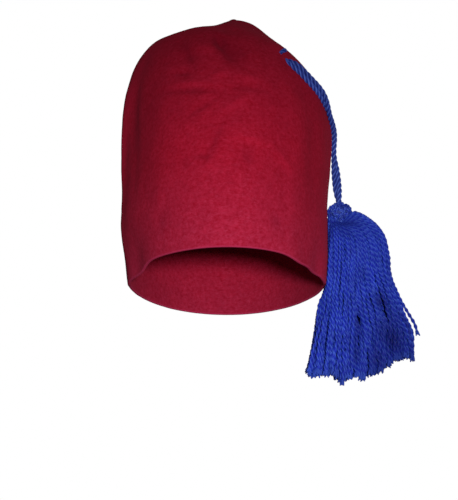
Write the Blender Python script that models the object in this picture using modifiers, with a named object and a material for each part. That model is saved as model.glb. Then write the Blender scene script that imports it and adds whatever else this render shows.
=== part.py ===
"""Soft felt fez with a twisted cord and a hanging yarn tassel, shaped as it is when worn.

Metres, +Z up.  The origin is the centre of the rim's opening, -Y is the front of the hat and
+X the side on which the tassel hangs.  The felt is one hollow shell, open at the rim.
"""
from collections import namedtuple
from math import cos, exp, radians, sin, tau

import bmesh
import bpy
from mathutils import Matrix, Vector
from mathutils.geometry import interpolate_bezier

# ---- driving dimensions -------------------------------------------------------------------
FELT_THICKNESS = 0.0025
SIDES_AROUND_CROWN = 60
STEPS_PER_SECTION = 3

CORD_DIAMETER = 0.0064      # two strands side by side, taken as one round cord
CORD_POINT_SPACING = 2.0    # in cord diameters
STITCH_DIAMETER = 0.0040
STITCH_POINT_SPACING = 0.5  # in stitch diameters
CURVE_SAMPLES = 17          # read between two points of a route to measure along it

HEAD_CENTRE = Vector((0.0943, 0.0030, 0.0626))
HEAD_HALF_WIDTH = 0.0106
HEAD_HALF_HEIGHT = 0.0080
HEAD_SEGMENTS = 24
HEAD_RINGS = 12

SKIRT_SIDES = 36
SKIRT_STEPS_PER_RING = 2
SKIRT_FULLNESS = 2.3
SKIRT_TO_FELT = 0.0008
LEFT_LIFT_SHARE = 0.4       # of a ring's lift on the side next to the hat

# Each row is a level section of the felt's outer face: how far it reaches from the Z axis to
# the left, right, front and back.  Fullness 2 is an ellipse, more is squarer.
Section = namedtuple("Section", "height left right front back fullness")
CROWN_SECTIONS = [
    Section(0.000, 0.0805, 0.0815, 0.1000, 0.1000, 1.95),
    Section(0.020, 0.0828, 0.0830, 0.1018, 0.1010, 2.00),
    Section(0.045, 0.0858, 0.0833, 0.1028, 0.1020, 2.05),
    Section(0.075, 0.0860, 0.0836, 0.1018, 0.1030, 2.10),
    Section(0.105, 0.0862, 0.0860, 0.0985, 0.1030, 2.15),
    Section(0.132, 0.0855, 0.0866, 0.0925, 0.1020, 2.20),
    Section(0.155, 0.0840, 0.0822, 0.0850, 0.0995, 2.20),
    Section(0.176, 0.0800, 0.0732, 0.0760, 0.0950, 2.15),
    Section(0.194, 0.0725, 0.0588, 0.0640, 0.0860, 2.15),
    Section(0.209, 0.0590, 0.0410, 0.0480, 0.0720, 2.10),
    Section(0.219, 0.0360, 0.0300, 0.0310, 0.0500, 2.05),
    Section(0.2265, 0.0060, 0.0185, 0.0160, 0.0180, 2.00),
]
PEAK = Vector((0.0068, -0.0060, 0.2300))

# Each row is a soft groove in the felt, or a ridge where its depth is negative.  It is centred
# on the front or back of the hat at x and height; slant is its lean to the right in degrees.
Fold = namedtuple("Fold", "x height side slant length width depth")
FRONT = -1
BACK = 1
CROWN_FOLDS = [
    Fold(0.000, 0.205, FRONT, -35, 0.017, 0.0065, 0.0032),    # dent below the peak
    Fold(0.026, 0.216, FRONT, -10, 0.020, 0.0110, -0.0018),   # ridge on its right
    Fold(-0.028, 0.216, FRONT, 70, 0.022, 0.0160, 0.0060),    # shallow dip left of the peak
    Fold(-0.032, 0.166, FRONT, 90, 0.018, 0.0060, 0.0016),    # short level crease
    Fold(-0.030, 0.176, FRONT, 90, 0.024, 0.0070, -0.0012),   # roll above that crease
    Fold(-0.036, 0.190, FRONT, -30, 0.014, 0.0070, 0.0016),   # small dent near the left shoulder
    Fold(-0.0755, 0.150, FRONT, 2, 0.040, 0.0060, 0.0020),    # upright valley at the left
    Fold(-0.010, 0.115, FRONT, 28, 0.018, 0.0070, 0.0012),    # slanted crease at the middle
    Fold(0.019, 0.112, FRONT, 0, 0.012, 0.0100, 0.0010),      # shallow hollow beside it
    Fold(0.070, 0.105, FRONT, 0, 0.045, 0.0100, 0.0014),      # upright valley at the right
    Fold(-0.074, 0.000, FRONT, 0, 0.022, 0.0160, 0.0055),     # hollow at the left temple
    Fold(0.073, 0.000, FRONT, 0, 0.022, 0.0160, 0.0040),      # hollow at the right temple
    Fold(0.010, 0.160, BACK, 80, 0.045, 0.0140, 0.0022),      # soft level dip at the back
    Fold(-0.030, 0.110, BACK, 15, 0.040, 0.0120, 0.0016),     # upright dip at the back
]
FOLD_REACH = 0.030          # a fold has no effect this far in front of or behind its own patch

# Each row is a ring of the skirt's outer form, from under the head to the cut ends.  Lift is
# how much higher the ring's outer side is than its height.
Ring = namedtuple("Ring", "height left right front back lift")
SKIRT_RINGS = [
    Ring(0.0540, 0.0895, 0.1005, -0.0030, 0.0090, 0.0000),
    Ring(0.0565, 0.0845, 0.1080, -0.0100, 0.0180, 0.0045),
    Ring(0.0545, 0.0838, 0.1150, -0.0140, 0.0250, 0.0030),
    Ring(0.0460, 0.0838, 0.1235, -0.0165, 0.0295, 0.0010),
    Ring(0.0320, 0.0838, 0.1305, -0.0180, 0.0325, 0.0000),
    Ring(0.0150, 0.0838, 0.1345, -0.0185, 0.0350, 0.0000),
    Ring(-0.0030, 0.0815, 0.1380, -0.0185, 0.0370, 0.0000),
    Ring(-0.0210, 0.0775, 0.1450, -0.0185, 0.0380, 0.0000),
    Ring(-0.0400, 0.0730, 0.1545, -0.0185, 0.0390, 0.0030),
    Ring(-0.0580, 0.0690, 0.1550, -0.0180, 0.0390, 0.0090),
    Ring(-0.0735, 0.0660, 0.1530, -0.0150, 0.0360, 0.0170),
]

# The cord's centre line, from the felt at the crown's upper side to the top of the head.
CORD_ROUTE = [
    (0.0489, -0.0652, 0.1721),
    (0.0523, -0.0640, 0.1695),
    (0.0563, -0.0629, 0.1656),
    (0.0608, -0.0604, 0.1618),
    (0.0674, -0.0562, 0.1558),
    (0.0750, -0.0482, 0.1504),
    (0.0804, -0.0407, 0.1450),
    (0.0849, -0.0317, 0.1392),
    (0.0879, -0.0226, 0.1333),
    (0.0898, -0.0141, 0.1272),
    (0.0905, -0.0085, 0.1208),
    (0.0906, -0.0050, 0.1130),
    (0.0906, -0.0025, 0.1050),
    (0.0909, -0.0005, 0.0970),
    (0.0914, 0.0010, 0.0890),
    (0.0922, 0.0022, 0.0800),
    (0.0934, 0.0030, 0.0711),
]
STITCH_ROUTE = [
    (0.0452, -0.0616, 0.1773),
    (0.0462, -0.0597, 0.1797),
    (0.0476, -0.0563, 0.1820),
    (0.0486, -0.0523, 0.1840),
]


def catmull_rom(before, start, end, after, t):
    """A value between start and end on the smooth curve through four values."""
    return 0.5 * (2 * start + (end - before) * t
                  + (2 * before - 5 * start + 4 * end - after) * t ** 2
                  + (3 * (start - end) + after - before) * t ** 3)


def smooth_rows(rows, steps):
    """The table's rows with steps - 1 smoothly interpolated rows between each two."""
    padded = [rows[0], *rows, rows[-1]]
    result = []
    for before, start, end, after in zip(padded, padded[1:], padded[2:], padded[3:]):
        for step in range(steps):
            t = step / steps
            values = [catmull_rom(*four, t) for four in zip(before, start, end, after)]
            result.append(type(start)(*values))
    return result + [rows[-1]]


def section_point(section, angle):
    """The point of a section's outline at an angle around Z, counted from +X."""
    power = 2 / section.fullness
    across = abs(cos(angle)) ** power * (1 if cos(angle) > 0 else -1)
    along = abs(sin(angle)) ** power * (1 if sin(angle) > 0 else -1)
    x = (section.right - section.left + across * (section.right + section.left)) / 2
    y = (section.back - section.front + along * (section.back + section.front)) / 2
    return Vector((x, y, section.height))


def grid_normal(grid, row, column):
    """The outward normal of a grid of rings at one of its points."""
    ring = grid[row]
    around = ring[(column + 1) % len(ring)] - ring[column - 1]
    upward = grid[min(row + 1, len(grid) - 1)][column] - grid[max(row - 1, 0)][column]
    return around.cross(upward).normalized()


def fold_frame(fold, grid):
    """The centre of a fold on the grid, its direction along the felt and the felt's normal."""
    def miss(place):
        point = grid[place[0]][place[1]]
        wrong_side = (point.y - PEAK.y) * fold.side < 0
        return abs(point.x - fold.x) + abs(point.z - fold.height) + wrong_side

    places = [(row, column) for row in range(len(grid)) for column in range(len(grid[0]))]
    row, column = min(places, key=miss)
    normal = grid_normal(grid, row, column)
    upward = (Vector((0, 0, 1)) - normal * normal.z).normalized()
    turn = Matrix.Rotation(radians(fold.slant) * fold.side, 3, normal)
    return grid[row][column], turn @ upward, normal


def folded(grid):
    """The grid of rings with every fold pressed into it along the felt's normals."""
    frames = [(fold, *fold_frame(fold, grid)) for fold in CROWN_FOLDS]
    result = []
    for row, ring in enumerate(grid):
        new_ring = []
        for column, point in enumerate(ring):
            press = 0
            for fold, centre, along, normal in frames:
                offset = point - centre
                run = offset.dot(along) / fold.length
                side = offset.dot(along.cross(normal)) / fold.width
                off = offset.dot(normal) / FOLD_REACH
                press += fold.depth * exp(-(run ** 2 + side ** 2 + off ** 2))
            new_ring.append(point - grid_normal(grid, row, column) * press)
        result.append(new_ring)
    return result


def loft(name, rings, first_cap=None, last_cap=None):
    """A mesh through rings of equally many points; a cap is a point that closes an end."""
    bm = bmesh.new()
    loops = [[bm.verts.new(point) for point in ring] for ring in rings]
    count = len(rings[0])
    for lower, upper in zip(loops, loops[1:]):
        for i in range(count):
            j = (i + 1) % count
            bm.faces.new((lower[i], lower[j], upper[j], upper[i]))
    for loop, cap in ((loops[0], first_cap), (loops[-1], last_cap)):
        if cap is None:
            continue
        tip = bm.verts.new(cap)
        for i in range(count):
            bm.faces.new((loop[i], loop[(i + 1) % count], tip))
    bmesh.ops.recalc_face_normals(bm, faces=bm.faces)
    mesh = bpy.data.meshes.new(name)
    bm.to_mesh(mesh)
    bm.free()
    mesh.shade_smooth()
    return mesh


def material(name, colour, roughness, sheen=0.0):
    """A plain cloth finish."""
    result = bpy.data.materials.new(name)
    result.use_nodes = True
    shader = result.node_tree.nodes["Principled BSDF"]
    shader.inputs["Base Color"].default_value = (*colour, 1)
    shader.inputs["Roughness"].default_value = roughness
    shader.inputs["Metallic"].default_value = 0
    shader.inputs["Sheen Weight"].default_value = sheen
    return result


def add_object(name, data, finish, collection):
    """A named object with its finish, in the collection."""
    result = bpy.data.objects.new(name, data)
    data.materials.append(finish)
    collection.objects.link(result)
    return result


def crown_grid():
    """The rings of the felt's outer face from the rim to just below the peak."""
    angles = [tau * i / SIDES_AROUND_CROWN for i in range(SIDES_AROUND_CROWN)]
    sections = smooth_rows(CROWN_SECTIONS, STEPS_PER_SECTION)
    grid = [[section_point(section, angle) for angle in angles] for section in sections]
    return folded(grid)


def make_crown(collection, finish):
    """The felt body: its outer face as one open sheet, thickened inwards."""
    crown = add_object("crown", loft("crown", crown_grid(), last_cap=PEAK), finish, collection)
    wall = crown.modifiers.new("felt thickness", "SOLIDIFY")
    wall.thickness = FELT_THICKNESS
    wall.offset = -1
    wall.use_even_offset = True
    return crown


def felt_side(y, height):
    """How far the felt's outer face reaches to +X at a depth and height."""
    rows = smooth_rows(CROWN_SECTIONS, STEPS_PER_SECTION)
    section = min(rows, key=lambda row: abs(row.height - height))
    middle_x = (section.right - section.left) / 2
    middle_y = (section.back - section.front) / 2
    half_width = (section.right + section.left) / 2
    half_depth = (section.back + section.front) / 2
    inside = max(0, 1 - abs((y - middle_y) / half_depth) ** section.fullness)
    return middle_x + half_width * inside ** (1 / section.fullness)


def skirt_point(ring, angle):
    """A point of a skirt ring, kept off the felt of the hat's side."""
    outline = Section(ring.height, -ring.left, ring.right, -ring.front, ring.back, SKIRT_FULLNESS)
    point = section_point(outline, angle)
    half_width = (ring.right - ring.left) / 2
    outward = (point.x - ring.left) / half_width - 1
    share = 1 if outward > 0 else LEFT_LIFT_SHARE
    point.z += ring.lift * share * outward ** 2
    if point.z > -SKIRT_TO_FELT:
        point.x = max(point.x, felt_side(point.y, point.z) + SKIRT_TO_FELT)
    return point


def make_skirt(collection, finish):
    """The outer form of the hanging yarn."""
    angles = [tau * i / SKIRT_SIDES for i in range(SKIRT_SIDES)]
    rows = smooth_rows(SKIRT_RINGS, SKIRT_STEPS_PER_RING)
    rings = [[skirt_point(row, angle) for angle in angles] for row in rows]
    caps = [sum(ring, Vector()) / len(ring) for ring in (rings[0], rings[-1])]
    return add_object("tassel_skirt", loft("tassel_skirt", rings, *caps), finish, collection)


def make_head(collection, finish):
    """The knotted ball between the cord and the skirt."""
    bm = bmesh.new()
    bmesh.ops.create_uvsphere(bm, u_segments=HEAD_SEGMENTS, v_segments=HEAD_RINGS, radius=1)
    size = (HEAD_HALF_WIDTH, HEAD_HALF_WIDTH, HEAD_HALF_HEIGHT)
    bmesh.ops.scale(bm, vec=size, verts=bm.verts)
    mesh = bpy.data.meshes.new("tassel_head")
    bm.to_mesh(mesh)
    bm.free()
    mesh.shade_smooth()
    head = add_object("tassel_head", mesh, finish, collection)
    head.location = HEAD_CENTRE
    return head


def smooth_route(points, spacing):
    """Points about one spacing apart on the smooth curve through a route's own points."""
    knots = [Vector(point) for point in points]
    padded = [2 * knots[0] - knots[1], *knots, 2 * knots[-1] - knots[-2]]
    fine = []
    for before, start, end, after in zip(padded, padded[1:], padded[2:], padded[3:]):
        pull_out = start + (end - before) / 6
        pull_in = end - (after - start) / 6
        fine += interpolate_bezier(start, pull_out, pull_in, end, CURVE_SAMPLES)[:-1]
    fine.append(knots[-1])
    length = sum((b - a).length for a, b in zip(fine, fine[1:]))
    pieces = max(2, round(length / spacing))
    result, travelled, wanted = [fine[0]], 0, 1
    for a, b in zip(fine, fine[1:]):
        step = (b - a).length
        while wanted < pieces and travelled + step >= length * wanted / pieces:
            result.append(a.lerp(b, (length * wanted / pieces - travelled) / step))
            wanted += 1
        travelled += step
    return result + [fine[-1]]


def make_cord(name, route, diameter, spacing, collection, finish):
    """A round cord along a route."""
    curve = bpy.data.curves.new(name, "CURVE")
    curve.dimensions = "3D"
    curve.bevel_depth = diameter / 2
    curve.bevel_resolution = 2
    curve.use_fill_caps = True
    points = smooth_route(route, spacing)
    spline = curve.splines.new("POLY")
    spline.points.add(len(points) - 1)
    for place, point in zip(spline.points, points):
        place.co = (*point, 1)
    return add_object(name, curve, finish, collection)


def build():
    for leftover in list(bpy.data.objects):
        bpy.data.objects.remove(leftover, do_unlink=True)
    fez = bpy.data.collections.new("felt_fez")
    bpy.context.scene.collection.children.link(fez)
    felt = material("crimson felt", (0.30, 0.009, 0.026), 0.95, sheen=0.3)
    cord_yarn = material("blue cord", (0.018, 0.040, 0.33), 0.75)
    head_yarn = material("blue knotted yarn", (0.020, 0.045, 0.36), 0.75)
    skirt_yarn = material("blue hanging yarn", (0.016, 0.038, 0.31), 0.80)
    stitch_yarn = material("blue stitch", (0.018, 0.042, 0.34), 0.75)
    make_crown(fez, felt)
    make_cord("tassel_cord", CORD_ROUTE, CORD_DIAMETER, CORD_DIAMETER * CORD_POINT_SPACING,
              fez, cord_yarn)
    make_cord("cord_stitch", STITCH_ROUTE, STITCH_DIAMETER, STITCH_DIAMETER * STITCH_POINT_SPACING,
              fez, stitch_yarn)
    make_head(fez, head_yarn)
    make_skirt(fez, skirt_yarn)


build()
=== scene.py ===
"""Looks of the felt fez: fibrous crimson felt, a two-strand blue cord and a tassel of plied yarn.

Metres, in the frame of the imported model: +Z is up through the crown, -Y the front of the hat and
+X the side the tassel hangs on.
"""
import random
from collections import namedtuple
from math import cos, pi, radians, sin, sqrt, tau

import bpy
import numpy as np
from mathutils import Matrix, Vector, noise
from mathutils.bvhtree import BVHTree


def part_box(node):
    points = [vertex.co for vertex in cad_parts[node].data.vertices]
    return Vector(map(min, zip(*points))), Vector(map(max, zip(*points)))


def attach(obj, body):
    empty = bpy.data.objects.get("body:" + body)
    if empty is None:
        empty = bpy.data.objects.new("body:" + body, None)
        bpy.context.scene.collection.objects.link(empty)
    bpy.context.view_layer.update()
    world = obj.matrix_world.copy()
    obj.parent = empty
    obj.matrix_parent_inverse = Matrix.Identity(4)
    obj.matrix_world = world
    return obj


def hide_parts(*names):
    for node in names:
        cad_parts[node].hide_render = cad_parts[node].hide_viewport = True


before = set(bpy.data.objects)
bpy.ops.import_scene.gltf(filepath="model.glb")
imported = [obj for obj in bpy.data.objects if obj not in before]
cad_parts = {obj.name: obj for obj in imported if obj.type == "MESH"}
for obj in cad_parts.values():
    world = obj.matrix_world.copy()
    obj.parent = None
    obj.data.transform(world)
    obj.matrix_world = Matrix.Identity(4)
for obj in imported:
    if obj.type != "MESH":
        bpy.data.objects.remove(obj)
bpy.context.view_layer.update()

NOISE_SEED = 8  # without it the strands' wander differs from run to run

# ---- camera ----
FRAME_PIXELS_HIGH = 500
METRES_PER_PIXEL = 0.00082  # at the hat's own distance
CAMERA_DISTANCE = 1.5
CAMERA_ELEVATION = -17.3  # the hat leans back, so the camera looks up at it
CAMERA_AIM = Vector((0.0023, 0, 0.0284))
SENSOR_MM = 36
FURTHEST_SEEN = 60

# ---- light and floor ----
LIGHT_CENTRE = Vector((0.02, 0, 0.07))
FRONT_LAMP_TURNS = (5, 2)  # degrees to the right of the lens and above it
FRONT_LAMP_DISTANCE = 1.45
FRONT_LAMP_AIM = Vector((0.002, -0.05, -0.016))
FRONT_LAMP_POWER = 73.0
FRONT_LAMP_BEAM = 24  # degrees
FRONT_LAMP_RADIUS = 0.07
BACK_LAMP_DISTANCE = 1.6
BACK_LAMP_POWER = 12.0
BACK_LAMP_SIZE = 0.9
FILL_STRENGTH = 0.08  # of the white surroundings, which the camera sees at strength 1
FLOOR_HALF_SIZE = 8.0
FLOOR_HEIGHT = -1.95

# ---- colours of the felt ----
FELT_DARK = (0.300, 0.0024, 0.0120, 1)
FELT_LIGHT = (0.430, 0.0105, 0.0365, 1)
FELT_FIBRE = (0.50, 0.028, 0.078, 1)
FELT_BLOTCH = (0.18, 0.003, 0.014, 1)
# painted shade in pressed creases, and a painted highlight on rolls that stand out
FELT_CREASE_SHADE = (0.12, 0.002, 0.010, 1)
FELT_ROLL_HIGHLIGHT = (0.60, 0.015, 0.055, 1)
# the cut edge's own paler colour, with a painted highlight
FELT_CUT_EDGE_AND_HIGHLIGHT = (0.46, 0.035, 0.110, 1)
FELT_GLARE_TINT = (1.04, 1.9, 1.65, 1)  # painted flash glare: the felt is pinker towards the rim
FELT_GLARE_HEIGHT = 0.075  # and from here up it isn't

# ---- any strand of yarn ----
PLY_FULLNESS = 1.08  # a ply's radius over the one at which plies only touch
GROOVE_BOTTOM = 0.52  # how near the strand's centre a groove comes, in radii
# A point's groove value sets how much painted shade it gets between plies.
LONE_PLY_GROOVE = 0.15  # how deep in a groove a single ply counts as lying
BLUNT_SHARE = 0.2  # of a strand's section is left at its very end
START_TIP, END_TIP = 0.3, 0.6  # how far the tips stand out, in radii
TIP_GROOVE = 0.5

# ---- cord ----
CORD_STRAND_RADIUS = 0.0022
CORD_STRAND_OFFSET = 0.0017  # of each strand's centre from the cord's own line
CORD_PLIES = 3
CORD_PITCH = 0.0145  # length in which a strand's plies turn once
CORD_RING_SPACING = 0.0005
CORD_PRESSED_IN = 0.0005  # how far its lowest plies sink into the felt
CORD_LEAVES_FELT = 0.112  # the height at which it starts to hang free
CORD_FREES_OVER = 0.010  # length in which the felt's push on it then fades
CORD_POINTS = 24  # around a strand
CORD_SAMPLES = 400
CORD_EASING = 60
CORD_TONES = (0.80, 0.58)  # of its two strands
CORD_SIDE = np.array((0.3, -0.9, 0.1))
CORD_THIN_START = 0.6  # share of its radius that a strand starts with
CORD_THICKENS_OVER = 0.020  # length in which a strand would gain a whole radius
CORD_PATH_STEP = 6  # one in so many points of its line is returned as its path
SUNK_END = 0.0012  # how deep its start and the stitch's ends lie in the felt
ROUTE_SAMPLES = 80  # of a short route

# The cord's line, from the felt at the crown's upper side to the top of the head.
CORD_ROUTE = [
    (0.0512, -0.063, 0.1752), (0.0535, -0.063, 0.171), (0.0571, -0.0626, 0.1665),
    (0.0616, -0.0599, 0.1624), (0.0681, -0.0557, 0.1564), (0.0752, -0.0481, 0.1506),
    (0.0804, -0.0407, 0.145), (0.0849, -0.0317, 0.1392), (0.0879, -0.0226, 0.1333),
    (0.0898, -0.0141, 0.1272), (0.0905, -0.0085, 0.1208), (0.0904, -0.005, 0.113),
    (0.0905, -0.0025, 0.105), (0.0909, -0.0005, 0.097), (0.0916, 0.001, 0.089),
    (0.0924, 0.0022, 0.08), (0.0934, 0.003, 0.0711),
]
# It runs on through the head and ends among the hanging yarn, where it is tied in.
CORD_INSIDE = [
    (0.0943, 0.003, 0.0626), (0.0946, 0.0032, 0.05), (0.095, 0.0036, 0.039),
    (0.0954, 0.004, 0.028),
]
# At a share of the cord's shown length, how many degrees the pair of strands is turned around
# its line.  At 0 they lie side by side as the camera sees them, at 90 one behind the other.
CORD_TURNS = [
    (0.00, 0), (0.27, 5), (0.36, 50), (0.42, 88), (0.52, 98), (0.60, 108), (0.70, 92),
    (0.76, 105), (0.81, 150), (0.86, 178), (0.92, 188), (0.95, 225), (1.00, 278),
]
CORD_OPENING = 0.013  # length in which the strands rise out of the felt and part
CORD_OPENING_CURVE = 0.7  # the lower, the sooner they part
CORD_CLOSED = 0.1  # share of their offset that they start with
STITCH_ROUTE = [
    (0.0438, -0.059, 0.1774), (0.0452, -0.056, 0.1796), (0.0467, -0.0525, 0.1818),
    (0.0482, -0.049, 0.1838),
]
STITCH_RADIUS = 0.0018
STITCH_RISE = 0.0022  # of its middle over its ends, which are sunk in the felt
STITCH_PITCH = CORD_PITCH * 0.8
STITCH_TONE = 0.55
STITCH_SIDE = np.array((0.2, -0.9, 0.3))

# ---- felt ----
FELT_THICKNESS = 0.0025
COLUMNS = 280  # of points around the hat
FRONT_CLOSENESS = 0.3  # columns lie this share closer at the front than on average
WALL_ROWS = 64
DOME_ROWS = 94
DOME_HEIGHT = 0.105  # above it the rows close towards the peak
INNER_ROW_STEP = 2  # the inner face has one in so many of the outer face's rows
CAST_REACH = 0.30  # how far out the rays that find the felt start
RAY_NUDGE = 0.0005  # radians, for a ray that slips through the edge of two faces
SMOOTHING_PASSES = 16
RIM_ROWS = 8
RIM_SQUARENESS = 3.2  # 2 is a half-round edge, more is squarer
TIP_RISE = 0.0003  # of the peak's last point over the last ring
# Faint waves of hand-pressed felt: their height, noise cells in a metre and place in the noise.
WAVES = [(0.00045, 34, 0), (0.00022, 90, 5), (0.00008, 260, 9)]

# Folds and creases pressed into the front, placed by x and height.  Lean is the turn of the
# fold's length from upright, towards +X at its top.  Length and width are half sizes, a
# negative depth stands out, and sharpness is 1 for a V-shaped crease and 2 for a soft one.
Crease = namedtuple("Crease", "x height lean length width depth sharpness", defaults=[2])
CREASES = [Crease(*row) for row in [
    (-0.0052, 0.1822, -18, 0.011, 0.0048, 0.0042, 1.5),  # dent below the peak
    (0.0020, 0.1690, -20, 0.010, 0.0052, 0.0014, 1.8),
    (0.0090, 0.1740, -5, 0.014, 0.0090, 0.0014),  # hollow on its right
    (-0.0150, 0.1765, -16, 0.013, 0.0060, -0.0004),  # swelling on its left
    (-0.0312, 0.1730, -25, 0.017, 0.0044, 0.0016, 1.5),  # small dents at the left
    (-0.0350, 0.1510, 98, 0.008, 0.0032, 0.0014, 1.4),
    (-0.0275, 0.1340, 97, 0.020, 0.0034, 0.0015, 1.5),  # level crease
    (0.0120, 0.1345, 90, 0.015, 0.0036, 0.0006, 1.6),
    (-0.0290, 0.1405, 96, 0.018, 0.0038, -0.0012),  # roll above it
    (-0.0050, 0.1490, 60, 0.010, 0.0035, -0.0008),
    (0.0180, 0.1440, -75, 0.013, 0.0055, -0.0010),  # swelling under the dent
    (0.0075, 0.1200, 58, 0.014, 0.0045, -0.0014),  # slanted roll at the middle
    (-0.0195, 0.1170, 54, 0.016, 0.0036, 0.0012, 1.5),  # crease along its lower edge
    (-0.0075, 0.0880, 22, 0.017, 0.0031, 0.0013, 1.3),  # slanted crease at the middle
    (-0.0195, 0.0745, 90, 0.007, 0.0026, 0.0012, 1.3),
    (0.0177, 0.0760, 0, 0.009, 0.0050, 0.0012, 1.7),  # shallow hollow beside it
    (-0.0130, 0.0660, 90, 0.006, 0.0045, -0.0008),
    (0.0200, 0.0885, 100, 0.013, 0.0045, -0.0010),  # arched roll at the right
    (0.0445, 0.0760, -50, 0.013, 0.0045, -0.0010),
    (0.0515, 0.0450, 0, 0.022, 0.0055, -0.0007),
    (-0.0740, 0.1180, -8, 0.026, 0.0074, 0.0018),  # upright valley at the left
    (-0.0725, 0.0850, 3, 0.026, 0.0070, 0.0007),
    (-0.0630, 0.1080, 0, 0.050, 0.0140, 0.0010),  # broad flat place beside it
    (0.0360, 0.1150, 0, 0.050, 0.0200, 0.0005),
    (-0.0830, 0.1030, 2, 0.041, 0.0065, -0.0023),  # roll at the outer side
    (-0.0810, 0.1480, 0, 0.034, 0.0180, -0.0026),  # and above it
    (-0.0740, 0.1810, -20, 0.014, 0.0120, -0.0012),
    (-0.0600, 0.1980, -40, 0.022, 0.0140, -0.0016),
    (-0.0840, 0.0380, 0, 0.022, 0.0090, -0.0013),  # and below the roll
    (0.0680, 0.0850, -3, 0.045, 0.0140, 0.0007),  # soft valley at the right
    (0.0860, 0.1080, 0, 0.030, 0.0110, -0.0016),
    (0.0850, 0.1330, 0, 0.014, 0.0110, -0.0010),
    (0.0610, 0.1380, 15, 0.013, 0.0080, 0.0006),  # flat place on the shoulder
    (0.0655, 0.1640, -37, 0.022, 0.0100, -0.0015),  # fuller beside the cord
    (0.0430, 0.1850, 50, 0.014, 0.0090, -0.0014),  # where the stitch gathers it
    (0.0210, 0.2218, 50, 0.009, 0.0120, -0.0011),
    (-0.0100, 0.2190, 80, 0.009, 0.0120, 0.0020),  # lower at the left of the peak
    (0.0055, 0.2290, 90, 0.0038, 0.0045, -0.0016),  # the nub on the peak
    (-0.0730, 0.0060, 0, 0.026, 0.0150, -0.0016),  # rounder at the temples
    (0.0760, 0.0060, 0, 0.024, 0.0120, -0.0010),
    (0.0600, 0.0060, 0, 0.022, 0.0080, 0.0006),
    (-0.0530, 0.0477, 0, 0.014, 0.0050, -0.0004),  # faint waves above the rim
    (-0.0505, 0.0290, 20, 0.010, 0.0055, 0.0007, 1.8),
    (0.0410, 0.0240, -30, 0.008, 0.0055, 0.0009, 1.8),
]]
CREASE_REACH = 0.022  # of its effect in front of and behind its own patch
FACES_FRONT = -0.05  # only points whose normal has a lower Y are a fold's centre
FULLY_PRESSED = 0.002  # depth at which a fold has its full painted shade, or a roll its full painted highlight

# Where the rim hangs a little lower than at the brow.
Dip = namedtuple("Dip", "x y reach depth")
RIM_DIPS = [Dip(*row) for row in [
    (-0.0710, -0.0370, 0.022, 0.0040),
    (-0.0800, -0.0100, 0.016, 0.0028),
    (0.0560, -0.0680, 0.014, 0.0024),
    (0.0670, -0.0450, 0.022, 0.0036),
    (0.0800, -0.0150, 0.018, 0.0034),
]]
DIP_HEIGHT = 0.030  # at which the wall is drawn down about a third as much as the rim

# ---- tassel head ----
HEAD_SEED = 3
HEAD_REACH_DOWN = 0.0022  # of the lowest curls into the skirt
HEAD_REACH_ASIDE = 0.0010  # of the curls that lie against the felt
CORE_RINGS = 30
CORE_POINTS = 28
CORE_END = 0.98  # how near the core comes to its poles
CORE_SHADE = 0.12  # painted shade: the core is dark so that it shows only as the shade between curls
CURLS = 76
CURL_RINGS = 26
CURL_POINTS = 8
CURL_YARN_RADIUS = 0.00110
CURL_YARN_SIZES = (0.9, 1.12)  # least and most, as shares of it
CURL_RADIUS = 0.0023
CURL_SIZES = (0.8, 1.25)
CURL_OVAL = 0.85
CURL_SWEEPS = (210, 320)  # degrees that a curl goes round
CURL_SHIFT = 0.15  # radians off its even place
CURL_DIP = 0.0010  # how far it weaves in and out
CURL_DIP_PACE = 1.3
CURL_DIP_SUNK = 0.6
CURL_PITCH = 0.0058
CURL_TONES = (0.20, 1.0)
CURL_BLUNT = 0.0008

# ---- tassel skirt ----
SKIRT_SEED = 7
PIECES_OF_SKIRT = 5
STRAND_RADIUS_TOP = 0.00140
STRAND_RADIUS_END = 0.00168
STRAND_SIZES = (0.9, 1.1)
STRAND_PITCH_TOP = 0.0084
STRAND_PITCH_END = 0.0108
STRAND_PITCHES = (0.92, 1.1)
STRAND_LOOSENS_OVER = 0.13  # length in which radius and pitch grow to those at the end
STRAND_SAMPLES = 130
STRAND_FEWEST = 8  # points left of a strand that is cut short
STRAND_RING_SPACING = 0.00110
STRAND_POINTS = 8
STRAND_SIDE = np.array((0.0, -1.0, 0.05))
# How far out each layer of strands lies, and how many strands it has.
LAYERS = [(1.0, 104), (0.94, 90), (0.86, 60), (0.64, 40), (0.32, 20)]
SEAT_SHIFT = 0.6  # of the way to the next strand of the layer, at most
SEAT_SINK = 0.07  # share by which it may lie further in
SKIRT_SQUARENESS = 2.3  # of the plan, 2 is an oval
DRIFT_ACROSS = 0.14  # of a strand on its way down, as a share of the skirt's half width
DRIFT_DEPTH = 0.10
DRIFT_LIMIT = 1.08  # how far out strands may drift, 1 being the outline
FREE_AFTER = 0.06  # length below the top from which strands wander in full
# Noise cells in a metre, its push to the sides and in depth, and its row in the noise.
Wander = namedtuple("Wander", "cells aside depth row")
OWN = Wander(34, 0.0040, 0.0022, 3.1)
KINKS = Wander(110, 0.0016, 0.0008, 8.3)
SHARED = Wander(16, 0.0036, 0.0036, 1)
SHARED_COLUMN = 7
SHARED_SPREAD = 1.7  # the lower, the more strands wander together
NOISE_LENGTH = 50  # the strands' own columns in the noise lie in this length
INNER_STRAND_SHADE = 0.50  # painted shade: the tone of a strand in the skirt's middle, against 1 on the outside
TONES = (0.78, 1.0)
TONE_WANDER = 0.25
STRAND_CLEARANCE = 0.0003  # between a strand and the felt
RIM_PASSED = -0.001  # the height below which strands hang clear of the felt
FELT_FADES_OVER = 0.009  # and the length in which its push on them fades
SHIFT_EASING = 12
LINE_EASING = 3
TUFT_SIZE = 0.0100  # the ends gather in tufts about this wide
TUFT_MIDDLE = 0.0700  # the x of the first one's middle
TUFT_HEIGHT = 0.022
TUFT_PULL = 0.60
TUFT_SLANT = 0.4  # shifts the tufts behind against those in front
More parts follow.
